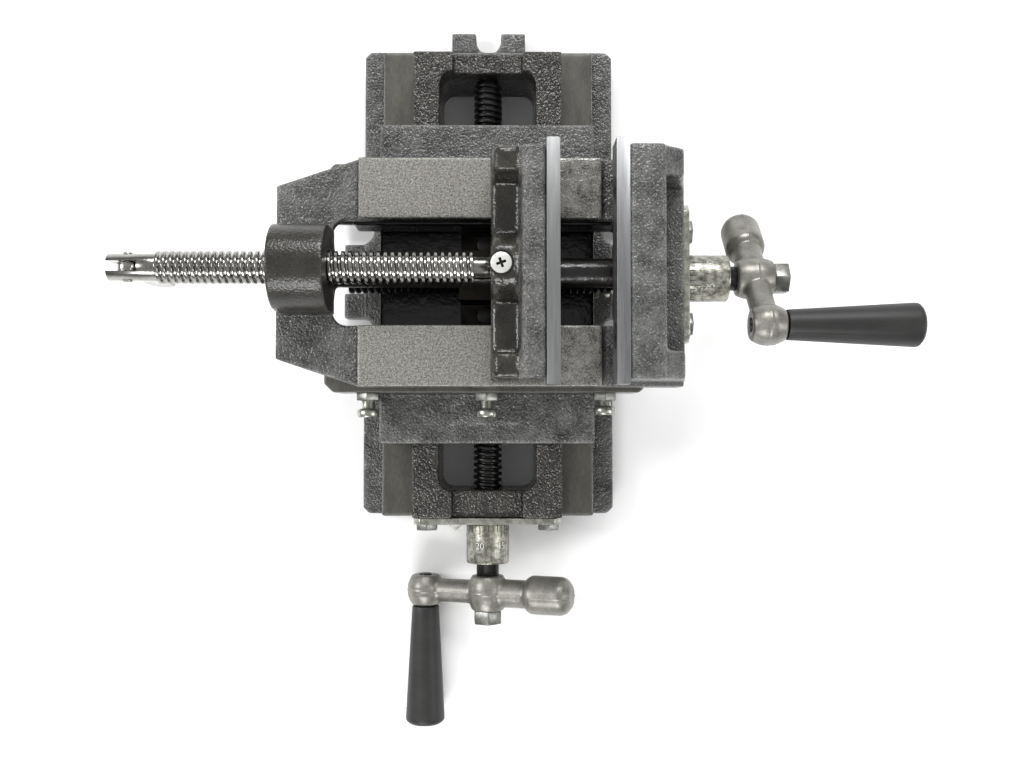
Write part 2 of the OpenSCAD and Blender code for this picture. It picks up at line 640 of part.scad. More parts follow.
// Movable jaw
module movable_jaw_casting() color(paint) translate([0, y_rest, 0]) difference() {
  low = bed_z + slide_gap;
  lug_in = 37;
  lug_drop = 8;
  hump_d = 27;
  hump_up = 2.5;
  groove_half = spine_d / 2 + 1.5;
  wall_x = move_wall - move_wall_t;
  union() {
    box(move_rear, move_wall, -jaw_half, jaw_half, low, low + foot_h);
    box(wall_x, move_wall, -jaw_half, jaw_half, low, jaw_z - 0.5);
    for (m = [0, 1]) mirror([0, m, 0]) translate([0, jaw_half, 0]) rotate([90, 0, 0])
      linear_extrude(jaw_half - lug_in) polygon([[move_rear, low], [wall_x + over, low],
        [wall_x + over, jaw_z - 3], [move_rear + 2, jaw_z - lug_drop / 2], [move_rear, jaw_z - lug_drop]]);
    difference() {
      rod_x(move_rear, wall_x + over, hump_d, 0, jaw_axis_z + hump_up);
      box(move_rear - over, wall_x + 2, -hump_d, hump_d, low - hump_d, low + over);
      box(move_rear - over, wall_x + 2, -hump_d, hump_d, retain_z, retain_z + hump_d);
    }
    box(move_rear, wall_x + over, -hump_d / 2, hump_d / 2, low, jaw_axis_z + hump_up);
    for (m = [0, 1]) mirror([0, m, 0])
      box(key_x0, key_x1, key_in, key_out, lip_z - 0.1, low + over);
  }
  box(move_rear - over, move_wall + over, -groove_half, groove_half, low - over, spine_z + spine_d / 2 + 1);
  rod_x(move_rear - over, wall_x - 0.4, neck_d + 2 * run_gap, 0, jaw_axis_z);
  rod_z(jaw_axis_z, retain_z + over, retain_d + 2 * seat, retain_x, 0);
  translate([retain_x, 0, retain_z - retain_head_t])
    cylinder(h = retain_head_t + seat, d1 = retain_d + 0.1, d2 = retain_head + 0.1);
  for (y = [-jaw_hole_y, jaw_hole_y])
    rod_x(wall_x + 1.5, move_wall + over, bolt_d + 2 * seat, y, jaw_hole_z);
  for (y = [-keep_screw_y, keep_screw_y])
    rod_z(lip_z - over, low + foot_h - 2, nut_screw_d + 2 * seat, (key_x0 + key_x1) / 2, y);
}
module movable_jaw_plate() color(steel) difference() {
  jaw_plate(move_wall);
  for (y = [-jaw_hole_y, jaw_hole_y]) {
    rod_x(move_wall - over, move_face + over, bolt_d + 0.4, y_rest + y, jaw_hole_z);
    sunk_x(move_face - sunk_t, move_face + seat, bolt_d + 0.4, sunk_d + 0.4, y_rest + y, jaw_hole_z);
  }
}
module movable_jaw_screws() color(dark) for (y = [-jaw_hole_y, jaw_hole_y]) {
  sunk_x(move_face - 0.1 - sunk_t, move_face - 0.1, bolt_d, sunk_d, y_rest + y, jaw_hole_z);
  rod_x(move_wall - move_wall_t + 2, move_face - 1, bolt_d, y_rest + y, jaw_hole_z);
}
module jaw_keepers() color(steel) translate([0, y_rest, 0]) for (m = [0, 1]) mirror([0, m, 0])
  difference() {
    box(key_x0, key_x1, key_in, keep_out, keep_z, lip_z - 0.1);
    rod_z(keep_z - over, lip_z + over, nut_screw_d + 0.4, (key_x0 + key_x1) / 2, keep_screw_y);
  }
module keeper_screws() color(zinc) translate([0, y_rest, 0])
  for (y = [-keep_screw_y, keep_screw_y]) {
    mid = (key_x0 + key_x1) / 2;
    rod_z(keep_z - nut_screw_head_t, keep_z, nut_screw_head, mid, y);
    rod_z(keep_z - over, bed_z + foot_h - 3, nut_screw_d, mid, y);
  }
module jaw_retaining_screw() color(zinc) translate([retain_x, y_rest, 0]) {
  translate([0, 0, retain_z - retain_head_t])
    cylinder(h = retain_head_t, d1 = retain_d, d2 = retain_head);
  rod_z(jaw_axis_z + groove_d / 2 + 0.3, retain_z - 1, retain_d);
}

module jaw_screw() color(steel) translate([0, y_rest, 0]) difference() {
  neck_right = move_wall - move_wall_t - 0.8;
  union() {
    rod_x(thread_left, thread_right, screw_d, 0, jaw_axis_z);
    rod_x(tail_left, thread_left + over, tail_d, 0, jaw_axis_z);
    rod_x(thread_right - over, retain_x - groove_w / 2, neck_d, 0, jaw_axis_z);
    rod_x(retain_x - groove_w, retain_x + groove_w, groove_d, 0, jaw_axis_z);
    rod_x(retain_x + groove_w / 2, neck_right, neck_d, 0, jaw_axis_z);
  }
  box(tail_left - over, fork_end, -fork_w / 2, fork_w / 2, jaw_axis_z - tail_d, jaw_axis_z + tail_d);
  rod_y(-tail_d, tail_d, pin_d + 2 * seat, pin_x, jaw_axis_z);
}
module lever_pin() color(zinc) translate([0, y_rest, 0]) {
  half_p = tail_d / 2 + 0.6;
  rod_y(-half_p, half_p, pin_d, pin_x, jaw_axis_z);
}
module jaw_lever() color(steel) translate([0, y_rest, 0]) difference() {
  eye_d = 8.6;
  end_d = 11;
  end_z = jaw_axis_z - lever_l + end_d / 2;
  half_t = lever_t / 2;
  union() {
    rod_y(-half_t, half_t, eye_d, pin_x, jaw_axis_z);
    rod_y(-half_t, half_t, end_d, pin_x, end_z);
    along_y(-half_t, half_t) polygon([[pin_x - eye_d / 2, jaw_axis_z], [pin_x + eye_d / 2, jaw_axis_z],
      [pin_x + end_d / 2, end_z], [pin_x - end_d / 2, end_z]]);
  }
  rod_y(-lever_t, lever_t, pin_d + 2 * run_gap, pin_x, jaw_axis_z);
}

base_casting();
y_end_plate();
y_plate_bolts();
y_lead_screw();
y_dial();
y_crank_arm();
y_crank_nut();
y_grip_spindle();
y_grip();
saddle_casting();
y_nut();
y_nut_screws();
x_nut();
x_nut_screws();
y_gib();
y_gib_screws();
y_gib_locknuts();
x_gib();
x_gib_screws();
x_gib_locknuts();
vise_body_casting();
fixed_jaw_plate();
fixed_jaw_screws();
x_end_plate();
x_plate_bolts();
x_lead_screw();
x_dial();
x_crank_arm();
x_crank_nut();
x_grip_spindle();
x_grip();
movable_jaw_casting();
movable_jaw_plate();
movable_jaw_screws();
jaw_keepers();
keeper_screws();
jaw_retaining_screw();
jaw_screw();
lever_pin();
jaw_lever();
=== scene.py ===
import json
import math

import bmesh
import bpy
from mathutils import Matrix, Vector


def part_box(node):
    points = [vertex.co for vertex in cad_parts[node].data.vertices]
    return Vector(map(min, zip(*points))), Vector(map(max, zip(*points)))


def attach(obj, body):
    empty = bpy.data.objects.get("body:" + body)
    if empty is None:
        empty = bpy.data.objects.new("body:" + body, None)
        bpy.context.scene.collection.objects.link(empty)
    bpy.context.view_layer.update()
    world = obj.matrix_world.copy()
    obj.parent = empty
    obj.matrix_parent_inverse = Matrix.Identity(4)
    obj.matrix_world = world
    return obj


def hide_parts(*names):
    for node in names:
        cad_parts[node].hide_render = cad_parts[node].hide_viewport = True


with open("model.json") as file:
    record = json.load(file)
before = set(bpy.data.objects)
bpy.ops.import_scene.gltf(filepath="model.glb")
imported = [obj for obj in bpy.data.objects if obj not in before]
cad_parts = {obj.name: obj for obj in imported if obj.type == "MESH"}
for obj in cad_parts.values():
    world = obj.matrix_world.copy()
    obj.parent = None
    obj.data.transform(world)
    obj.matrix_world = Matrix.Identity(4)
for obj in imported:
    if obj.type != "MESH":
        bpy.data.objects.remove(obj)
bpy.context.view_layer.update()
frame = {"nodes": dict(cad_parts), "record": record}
cadNodes = frame["nodes"]
record = frame["record"]
bodyOf = {node: body for body, row in record["behaviour"]["bodies"].items() for node in row}
mm = 0.001
scene = bpy.context.scene


def fromHex(code):  # sRGB hex to linear
    parts = [int(code[i:i + 2], 16) / 255 for i in (1, 3, 5)]
    linear = [c / 12.92 if c <= 0.04045 else ((c + 0.055) / 1.055) ** 2.4 for c in parts]
    return (*linear, 1.0)


def addNode(tree, kind, settings=None, inputs=None):
    node = tree.nodes.new(kind)
    for name, value in (settings or {}).items():
        setattr(node, name, value)
    for name, value in (inputs or {}).items():
        if isinstance(value, bpy.types.NodeSocket):
            tree.links.new(value, node.inputs[name])
        else:
            node.inputs[name].default_value = value
    return node


def maths(tree, operation, first, second):
    node = addNode(tree, "ShaderNodeMath", {"operation": operation}, {0: first, 1: second})
    return node.outputs[0]


def perMm(size):  # noise scale on Object coordinates for a grain of that many millimetres
    return 1 / (size * mm)


rampEnds = (0.36, 0.64)  # where the noise is wholly dark and wholly light
edgeLightBend = {"inner": 0.45, "outer": 0.55, "highlightShare": 3}  # pointiness; the painted highlight on outer edges is a third of the painted shade in inner corners


def finish(name, sizes):
    # one recipe for every surface: two grains of colour, domes and waves of relief, in millimetres
    mat = bpy.data.materials.new(name)
    mat.use_nodes = True
    tree = mat.node_tree
    shader = tree.nodes["Principled BSDF"]
    place = addNode(tree, "ShaderNodeTexCoord").outputs["Object"]
    if sizes.get("stretch"):  # brushing: long along one axis
        place = addNode(tree, "ShaderNodeMapping", inputs={
            "Vector": place, "Scale": sizes["stretch"]}).outputs["Vector"]
    grain = addNode(tree, "ShaderNodeTexNoise", inputs={
        "Vector": place, "Scale": perMm(sizes["grain"]),
        "Detail": 3.0, "Roughness": 0.6}).outputs["Fac"]
    patch = addNode(tree, "ShaderNodeTexNoise", inputs={
        "Vector": place, "Scale": perMm(sizes["patch"]), "Detail": 2.0}).outputs["Fac"]
    mixed = addNode(tree, "ShaderNodeMix", inputs={0: sizes.get("fine", 0.4), 2: patch, 3: grain})
    ramp = addNode(tree, "ShaderNodeValToRGB", inputs={"Fac": mixed.outputs[0]})
    for stop, spot, tone in zip(ramp.color_ramp.elements, rampEnds, ("dark", "light")):
        stop.position = spot
        stop.color = fromHex(sizes[tone])
    tint = ramp.outputs["Color"]
    if sizes.get("edgeShade"):  # painted shade darkens the inner corners, a painted highlight lightens the outer edges
        bend = addNode(tree, "ShaderNodeNewGeometry").outputs["Pointiness"]
        shade = addNode(tree, "ShaderNodeMapRange", inputs={
            "Value": bend, "From Min": edgeLightBend["inner"], "From Max": edgeLightBend["outer"],
            "To Min": 1 - sizes["edgeShade"], "To Max": 1 + sizes["edgeShade"] / edgeLightBend["highlightShare"]})
        tint = addNode(tree, "ShaderNodeVectorMath", {"operation": "SCALE"}, {
            0: tint, "Scale": shade.outputs["Result"]}).outputs["Vector"]
    tree.links.new(tint, shader.inputs["Base Color"])
    shader.inputs["Metallic"].default_value = sizes["metallic"]
    shader.inputs["Roughness"].default_value = sizes["roughness"]
    bump = None
    if sizes.get("pebble"):  # domes of that width and height in mm, shoulder to shoulder
        size, height = sizes["pebble"]
        domes = addNode(tree, "ShaderNodeTexVoronoi", {"feature": "SMOOTH_F1"}, {
            "Vector": place, "Scale": perMm(size), "Smoothness": 0.35}).outputs["Distance"]
        bump = addNode(tree, "ShaderNodeBump", {"invert": True}, {
            "Height": domes, "Distance": height * mm, "Strength": 1.0}).outputs["Normal"]
    for size, height in sizes["relief"]:  # grain width and depth in mm
        noise = addNode(tree, "ShaderNodeTexNoise", inputs={
            "Vector": place, "Scale": perMm(size), "Detail": 2.0}).outputs["Fac"]
        links = {"Height": noise, "Distance": height * mm, "Strength": 1.0}
        if bump:
            links["Normal"] = bump
        bump = addNode(tree, "ShaderNodeBump", inputs=links).outputs["Normal"]
    if bump:
        tree.links.new(bump, shader.inputs["Normal"])
    return mat


# sand-cast iron under semi-gloss grey enamel: pebbled, each grain catches its own glint
castPaint = finish("enamelled cast iron", {
    "dark": "#343433", "light": "#757573", "grain": 0.8, "patch": 9, "fine": 0.55,
    "metallic": 0.0, "roughness": 0.2,
    "edgeShade": 0.9, "pebble": (1.0, 0.36), "relief": [(0.8, 0.2), (2.4, 0.42), (6.0, 0.5)]})
# the same enamel where the pattern was smoother: olive black, an even skin with few sparkles
smoothPaint = finish("enamelled cast iron, smooth", {
    "dark": "#1c1b18", "light": "#383630", "grain": 0.9, "patch": 9, "fine": 0.55,
    "metallic": 0.0, "roughness": 0.3,
    "edgeShade": 0.9, "pebble": (1.0, 0.1), "relief": [(0.9, 0.06)]})
# thick enamel pooled in the jaw's hollows: brown black and wet, slow soft dents
pooledPaint = finish("enamelled cast iron, pooled", {
    "dark": "#1e1c19", "light": "#413e37", "grain": 1.0, "patch": 9, "fine": 0.5,
    "metallic": 0.0, "roughness": 0.26,
    "edgeShade": 0.9, "pebble": (1.2, 0.1), "relief": [(4.0, 0.4)]})
# enamel under a film of oil and swarf dust: brown black, wet glints
oiledPaint = finish("oiled enamel", {
    "dark": "#1f1d1b", "light": "#45423d", "grain": 1.0, "patch": 8, "fine": 0.5,
    "metallic": 0.0, "roughness": 0.11,
    "edgeShade": 0.9, "pebble": (1.15, 0.52), "relief": [(0.9, 0.25), (5.0, 0.4)]})
# the inside of the slot: thick black enamel with oil and dust, near black as painted shade, since
# the slot lies in shadow
blackEnamelAndShade = finish("black enamel and painted shade", {
    "dark": "#121110", "light": "#211f1d", "grain": 1.0, "patch": 8,
    "metallic": 0.0, "roughness": 0.24, "relief": [(1.4, 0.12), (5.0, 0.3)]})
# milled grey iron: pale, even, with the fine salt and pepper of graphite (drawn coarser to show)
milledIron = finish("milled cast iron", {
    "dark": "#454440", "light": "#a3a19b", "grain": 0.55, "patch": 0.9, "fine": 0.65,
    "metallic": 0.5, "roughness": 0.48, "relief": [(0.55, 0.09)]})
# the same iron between the jaws, under a film of oil and paint dust: darker, with wet glints
filmedIron = finish("filmed cast iron", {
    "dark": "#3d3c39", "light": "#a09e99", "grain": 0.6, "patch": 5, "fine": 0.6,
    "metallic": 0.35, "roughness": 0.24, "relief": [(0.7, 0.2), (3.5, 0.35)]})
# planed ways, oiled: brown grey with faint strokes along Y
wayIron = finish("planed cast iron ways", {
    "dark": "#403f3b", "light": "#5a5851", "grain": 0.9, "patch": 7,
    "metallic": 0.15, "roughness": 0.45, "stretch": (1.0, 0.3, 1.0), "relief": [(0.8, 0.05)]})
# ground tool steel, brushed along the jaw
jawSteel = finish("ground steel", {
    "dark": "#7b7c7d", "light": "#9c9d9d", "grain": 0.5, "patch": 6,
    "metallic": 1.0, "roughness": 0.42, "stretch": (1.0, 0.03, 1.0), "relief": [(0.5, 0.012)]})
# bright zinc plate with a straw cast, mottled by handling
zincPlate = finish("bright zinc plate", {
    "dark": "#86867e", "light": "#c4c4bb", "grain": 0.8, "patch": 2.5,
    "metallic": 1.0, "roughness": 0.3, "relief": [(1.0, 0.06)]})
# the same plate on bolts and nuts, dulled
boltZinc = finish("dull zinc plate", {
    "dark": "#6c6d68", "light": "#a3a49f", "grain": 0.9, "patch": 4,
    "metallic": 1.0, "roughness": 0.42, "relief": [(1.0, 0.03)]})
# nickel-plated screw steel: near mirror
brightNickel = finish("bright nickel plate", {
    "dark": "#7f7e7b", "light": "#aba9a5", "grain": 1.0, "patch": 9,
    "metallic": 1.0, "roughness": 0.2, "relief": [(1.2, 0.012)]})
# black oxide with an oil film
blackOxide = finish("black oxide steel", {
    "dark": "#161616", "light": "#2c2b2a", "grain": 0.8, "patch": 6,
    "metallic": 0.6, "roughness": 0.34, "relief": [(0.8, 0.02)]})
# die-cast zinc dial: pale, mottled, crisp
dialZinc = finish("die-cast zinc", {
    "dark": "#5c5b54", "light": "#bbb9ae", "grain": 0.8, "patch": 2.6,
    "metallic": 0.9, "roughness": 0.36, "relief": [(0.9, 0.09)]})
# tumbled die casting of the cranks: satin, soft waves, faint stains
crankCast = finish("tumbled die casting", {
    "dark": "#777570", "light": "#96948d", "grain": 1.0, "patch": 6,
    "metallic": 0.75, "roughness": 0.42, "relief": [(1.1, 0.03), (4.0, 0.12)]})
# moulded phenolic grip: matte black with a little sheen
gripPlastic = finish("moulded phenolic", {
    "dark": "#141413", "light": "#21201f", "grain": 0.9, "patch": 8,
    "metallic": 0.0, "roughness": 0.5, "relief": [(0.8, 0.015)]})
# bronze nuts, drawn near black as painted shade: no bright metal shows down in the slot
shadedBronze = finish("bronze in painted shade", {
    "dark": "#14120f", "light": "#221d16", "grain": 0.8, "patch": 6,
    "metallic": 0.8, "roughness": 0.4, "relief": [(0.8, 0.02)]})
# ground gib strips and keepers
gibSteel = finish("ground gib steel", {
    "dark": "#6f6f6d", "light": "#8f8f8c", "grain": 0.6, "patch": 6,
    "metallic": 1.0, "roughness": 0.38, "stretch": (1.0, 0.1, 1.0), "relief": [(0.6, 0.012)]})
# dye left in stamped lines, and the painted shadow round the raised figures
inkAndShadow = finish("stamped mark and painted shadow", {
    "dark": "#33322e", "light": "#4a4842", "grain": 0.6, "patch": 4,
    "metallic": 0.3, "roughness": 0.6, "relief": []})
# white zinc of the small cross-head screw
whiteZinc = finish("white zinc plate", {
    "dark": "#cfd0cc", "light": "#e6e6e2", "grain": 1.0, "patch": 5,
    "metallic": 0.6, "roughness": 0.4, "relief": []})
print("finishes:", len(bpy.data.materials))


def newPiece(name, mesh):
    piece = bpy.data.objects.new(name, mesh)
    scene.collection.objects.link(piece)
    return piece


def pieceName(node):  # jaw_screw becomes jawScrew
    first, *others = node.split("_")
    return first + "".join(word.capitalize() for word in others)


def settle(piece, node):
    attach(piece, bodyOf[node])
    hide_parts(node)


def bakedMesh(holder):  # the mesh as the modifiers leave it
    graph = bpy.context.evaluated_depsgraph_get()
    return bpy.data.meshes.new_from_object(holder.evaluated_get(graph))


def applyModifiers(piece):
    made = bakedMesh(piece)
    piece.modifiers.clear()
    piece.data = made


def plainMesh(edit, name):  # ends an edit and gives its mesh
    mesh = bpy.data.meshes.new(name)
    edit.to_mesh(mesh)
    edit.free()
    return mesh


weld = {"apart": 0.002, "flat": 0.6}  # corners this close, faces this flat, are one
wornAngle = 35  # edges that turn more than this, in degrees, are worn round
sharpAngle = 40  # edges that turn more than this stay crisp in the shading


def copySolid(node, name):
    mesh = cadNodes[node].data.copy()
    mesh.name = name
    mesh.materials.clear()
    edit = bmesh.new()
    edit.from_mesh(mesh)
    bmesh.ops.remove_doubles(edit, verts=edit.verts, dist=weld["apart"] * mm)
    bmesh.ops.dissolve_limit(edit, angle_limit=math.radians(weld["flat"]),
                             verts=edit.verts, edges=edit.edges)
    edit.to_mesh(mesh)
    edit.free()
    return newPiece(name, mesh)


def shadeByAngle(piece):
    edit = bmesh.new()
    edit.from_mesh(piece.data)
    for face in edit.faces:
        face.smooth = True
    for edge in edit.edges:
        joined = len(edge.link_faces) == 2
        edge.smooth = joined and edge.calc_face_angle(0) < math.radians(sharpAngle)
    edit.to_mesh(piece.data)
    edit.free()


def soften(piece, width, segments=2):  # worn edge of that many millimetres
    bevel = piece.modifiers.new("edge", "BEVEL")
    bevel.limit_method = "ANGLE"
    bevel.angle_limit = math.radians(wornAngle)
    bevel.width = width * mm
    bevel.segments = segments
    bevel.use_clamp_overlap = True
    bevel.harden_normals = False
    applyModifiers(piece)
    shadeByAngle(piece)


def melt(piece, voxel, rounds, most=0, rounder=None):
    # every corner runs into the next, as on a rough casting
    grid = piece.modifiers.new("grid", "REMESH")
    grid.mode = "VOXEL"
    grid.voxel_size = voxel * mm
    applyModifiers(piece)
    passes = [(rounds, "")]
    if rounder:  # more rounds beyond a low corner given in mm
        low, more = rounder
        soft = piece.vertex_groups.new(name="soft")
        beyond = [vert.index for vert in piece.data.vertices
                  if all(vert.co[i] > low[i] * mm for i in range(3))]
        soft.add(beyond, 1.0, "REPLACE")
        passes.append((more, soft.name))
    for count, group in passes:
        ease = piece.modifiers.new("ease", "SMOOTH")
        ease.factor = 0.5
        ease.iterations = count
        ease.vertex_group = group
    applyModifiers(piece)
    piece.vertex_groups.clear()
    triangles = sum(len(face.vertices) - 2 for face in piece.data.polygons)
    if most and triangles > most:
        thin = piece.modifiers.new("thin", "DECIMATE")
        thin.ratio = most / triangles
        applyModifiers(piece)
    for face in piece.data.polygons:
        face.use_smooth = True


def cutRecess(piece, cutters):
    for mesh in cutters:
        tool = newPiece("cutter", mesh)
        cut = piece.modifiers.new("recess", "BOOLEAN")
        cut.operation = "DIFFERENCE"
        cut.solver = "EXACT"
        cut.use_self = True
        cut.object = tool
        applyModifiers(piece)
        bpy.data.objects.remove(tool)
    shadeByAngle(piece)


def paintFaces(piece, mats, chooser):
    # the chooser gives a slot from a face's centre in mm and its normal
    for mat in mats:
        piece.data.materials.append(mat)
    for face in piece.data.polygons:
        face.material_index = chooser(face.center / mm, face.normal)


middleY = sum((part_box("jaw_screw")[i].y for i in (0, 1))) / 2 / mm  # middle line of the jaw screw
wayZ = 26  # tops of the base's ways
railZ = 68  # tops of the saddle's rails
bedZ = 88.05  # pads that the jaw rides on
lowerScrewZ = 22
upperScrewZ = 66
jawScrewZ = 98.05
flatRise = 0.9  # a face whose normal rises this much lies flat


castings = {  # voxel in mm, rounds of easing, most triangles kept, low corner of a rounder region
    "base_casting": {"name": "baseSkin", "voxel": 0.85, "smooth": 4, "most": 150000},
    "saddle_casting": {"name": "saddleSkin", "voxel": 0.8, "smooth": 4, "most": 130000},
    "vise_body_casting": {"name": "bodySkin", "voxel": 0.75, "smooth": 5, "most": 160000,
                          "rounder": ((54.5, -99, 90), 16)},
    "movable_jaw_casting": {"name": "jawSkin", "voxel": 0.55, "smooth": 8, "most": 120000,
                            "rounder": ((-99, -99, 89.5), 110)},
}
baseZones = {"near": 0.6, "under": -0.2, "dovetailTop": 40, "blockFrom": 1, "foot": 0.5}
saddleZones = {"near": 0.6, "railFrom": 36, "slotHalf": 40, "slotFloor": 44, "slotEnd": 50}
bodyZones = {"near": 0.4, "padEnd": 52, "filmFrom": 24, "bossEnd": -60, "bossFoot": 89,
             "slotFrom": -66.5, "slotEnd": 58.8, "lip": 3.6, "coreHalf": 31, "slotHalf": 7}
jawZones = {"faceFrom": 14, "foot": 90}


def baseFinish(centre, normal):
    zone = baseZones
    if normal.z > flatRise and abs(centre.z - wayZ) < zone["near"]:
        return 1
    if -flatRise < normal.z < zone["under"] and wayZ < centre.z < zone["dovetailTop"]:
        return 1
    if centre.z > wayZ + zone["blockFrom"]:
        return 2
    return 1 if normal.z < -flatRise and centre.z < zone["foot"] else 0


def saddleFinish(centre, normal):
    zone = saddleZones
    side = abs(centre.y - middleY)
    if normal.z > flatRise and abs(centre.z - railZ) < zone["near"] and side > zone["railFrom"]:
        return 1
    # painted shade: the inside of the saddle's slot takes the near-black enamel
    if side < zone["slotHalf"] and centre.z > zone["slotFloor"]:
        return 2 if abs(centre.x) < zone["slotEnd"] else 3
    return 0


def bodyFinish(centre, normal):
    zone = bodyZones
    if normal.z > flatRise and abs(centre.z - bedZ) < zone["near"] and centre.x < zone["padEnd"]:
        return 1 if centre.x < zone["filmFrom"] else 4
    if centre.x < zone["bossEnd"] and centre.z > zone["bossFoot"]:
        return 2
    # painted shade: the slot and its core below the pads take the near-black enamel
    half = zone["coreHalf"] if centre.z < bedZ - zone["lip"] else zone["slotHalf"]
    inSlot = zone["slotFrom"] < centre.x < zone["slotEnd"] and abs(centre.y - middleY) < half
    return 3 if inSlot else 0


def jawFinish(centre, normal):
    return 0 if centre.x > jawZones["faceFrom"] and centre.z > jawZones["foot"] else 1


castingPaint = {
    "base_casting": ([castPaint, wayIron, oiledPaint], baseFinish),
    "saddle_casting": ([castPaint, wayIron, blackEnamelAndShade, smoothPaint], saddleFinish),
    "vise_body_casting": ([castPaint, milledIron, smoothPaint, blackEnamelAndShade, filmedIron], bodyFinish),
    "movable_jaw_casting": ([castPaint, pooledPaint], jawFinish),
}
# hollow under the slot's left end, y from the middle line
slotCore = {"low": (-82, -31, 53), "high": (-60, 31, 79)}


def boxCutter(low, high):
    edit = bmesh.new()
    bmesh.ops.create_cube(edit, size=1)
    low, high = (Vector(spot) + Vector((0, middleY, 0)) for spot in (low, high))
    for vert in edit.verts:
        vert.co = Vector([low[i] if vert.co[i] < 0 else high[i] for i in range(3)]) * mm
    return plainMesh(edit, "cutter")


for node, sizes in castings.items():
    piece = copySolid(node, sizes["name"])
    if node == "vise_body_casting":
        cutRecess(piece, [boxCutter(**slotCore)])
    melt(piece, sizes["voxel"], sizes["smooth"], sizes["most"], sizes.get("rounder"))
    paintFaces(piece, *castingPaint[node])
    settle(piece, node)
print("castings:", len(castings))


def joinMesh(piece, *meshes):  # adds plain meshes to a piece
    edit = bmesh.new()
    edit.from_mesh(piece.data)
    for mesh in meshes:
        edit.from_mesh(mesh)
    edit.to_mesh(piece.data)
    edit.free()


def newTree(name, inputs):
    # a Geometry Nodes tree with named sizes; gives the tree, its inputs and their identifiers
    tree = bpy.data.node_groups.new(name, "GeometryNodeTree")
    tree.interface.new_socket("Geometry", in_out="OUTPUT", socket_type="NodeSocketGeometry")
    keys = {}
    for label, kind in inputs.items():
        socket = tree.interface.new_socket(label, in_out="INPUT", socket_type="NodeSocket" + kind)
        keys[label] = socket.identifier
    return tree, tree.nodes.new("NodeGroupInput").outputs, keys


def closeTree(tree, geometry, material):
    real = addNode(tree, "GeometryNodeRealizeInstances", inputs={"Geometry": geometry})
    dressed = addNode(tree, "GeometryNodeSetMaterial", inputs={
        "Geometry": real.outputs["Geometry"], "Material": material})
    addNode(tree, "NodeGroupOutput", inputs={"Geometry": dressed.outputs["Geometry"]})


def growMesh(tree, keys, values):  # runs a tree once and gives a plain mesh
    holder = newPiece(tree.name, bpy.data.meshes.new(tree.name))
    modifier = holder.modifiers.new("grow", "NODES")
    modifier.node_group = tree
    for label, value in values.items():
        modifier[keys[label]] = value
    mesh = bakedMesh(holder)
    bpy.data.objects.remove(holder)
    return mesh


threadSizes = {"pitch": 3.0, "root": 5.35, "crest": 6.97, "flank": (0.15, 0.27),  # flank in pitches
               "sides": 40, "ringsPerPitch": 12, "bar": 7, "match": 0.06, "reach": 1.5,
               "sink": 0.25}


def growThreadTree():
    # a bar whose radius rides up and down with angle and length: a trapezoid thread with no seam
    tree, get, keys = newTree("screwThread", {
        "Length": "Float", "Pitch": "Float", "Root": "Float", "Crest": "Float", "Hand": "Float",
        "Rings": "Int", "Turn": "Rotation", "Place": "Vector", "Material": "Material"})
    bar = addNode(tree, "GeometryNodeMeshCylinder", inputs={
        "Vertices": threadSizes["sides"], "Side Segments": get["Rings"],
        "Radius": get["Crest"], "Depth": get["Length"]})
    spot = addNode(tree, "GeometryNodeInputPosition").outputs[0]
    split = addNode(tree, "ShaderNodeSeparateXYZ", inputs={0: spot}).outputs
    turns = maths(tree, "DIVIDE", maths(tree, "ARCTAN2", split["Y"], split["X"]), 2 * math.pi)
    handed = maths(tree, "MULTIPLY", turns, get["Hand"])
    rise = maths(tree, "DIVIDE", split["Z"], get["Pitch"])
    wave = maths(tree, "PINGPONG", maths(tree, "SUBTRACT", rise, handed), 0.5)
    start, end = threadSizes["flank"]
    height = addNode(tree, "ShaderNodeMapRange", {"interpolation_type": "SMOOTHSTEP"}, {
        "Value": wave, "From Min": start, "From Max": end,
        "To Min": get["Root"], "To Max": get["Crest"]})
    ratio = maths(tree, "DIVIDE", height.outputs["Result"], get["Crest"])
    moved = addNode(tree, "ShaderNodeCombineXYZ", inputs={
        "X": maths(tree, "MULTIPLY", split["X"], ratio),
        "Y": maths(tree, "MULTIPLY", split["Y"], ratio), "Z": split["Z"]})
    cut = addNode(tree, "GeometryNodeSetPosition", inputs={
        "Geometry": bar.outputs["Mesh"], "Position": moved.outputs[0]})
    smooth = addNode(tree, "GeometryNodeSetShadeSmooth", inputs={
        "Geometry": cut.outputs["Geometry"]})
    laid = addNode(tree, "GeometryNodeTransform", inputs={
        "Geometry": smooth.outputs["Geometry"],
        "Translation": get["Place"], "Rotation": get["Turn"]})
    closeTree(tree, laid.outputs["Geometry"], get["Material"])
    return tree, keys


threadTree, threadKeys = growThreadTree()
screws = {  # axis, a point on it, the thread's span along it, hand, worn edge; sizes in mm
    "jaw_screw": {"axis": 0, "centre": (0, middleY, jawScrewZ), "span": (-138, -4.6),
                  "hand": 1, "mat": brightNickel, "edge": 0.4},
    "x_lead_screw": {"axis": 0, "centre": (0, middleY, upperScrewZ), "span": (-62, 82),
                     "hand": 1, "mat": blackOxide, "edge": 0.3},
    "y_lead_screw": {"axis": 1, "centre": (0, 0, lowerScrewZ), "span": (-113.6, 96),
                     "hand": -1, "mat": blackOxide, "edge": 0.3},
}


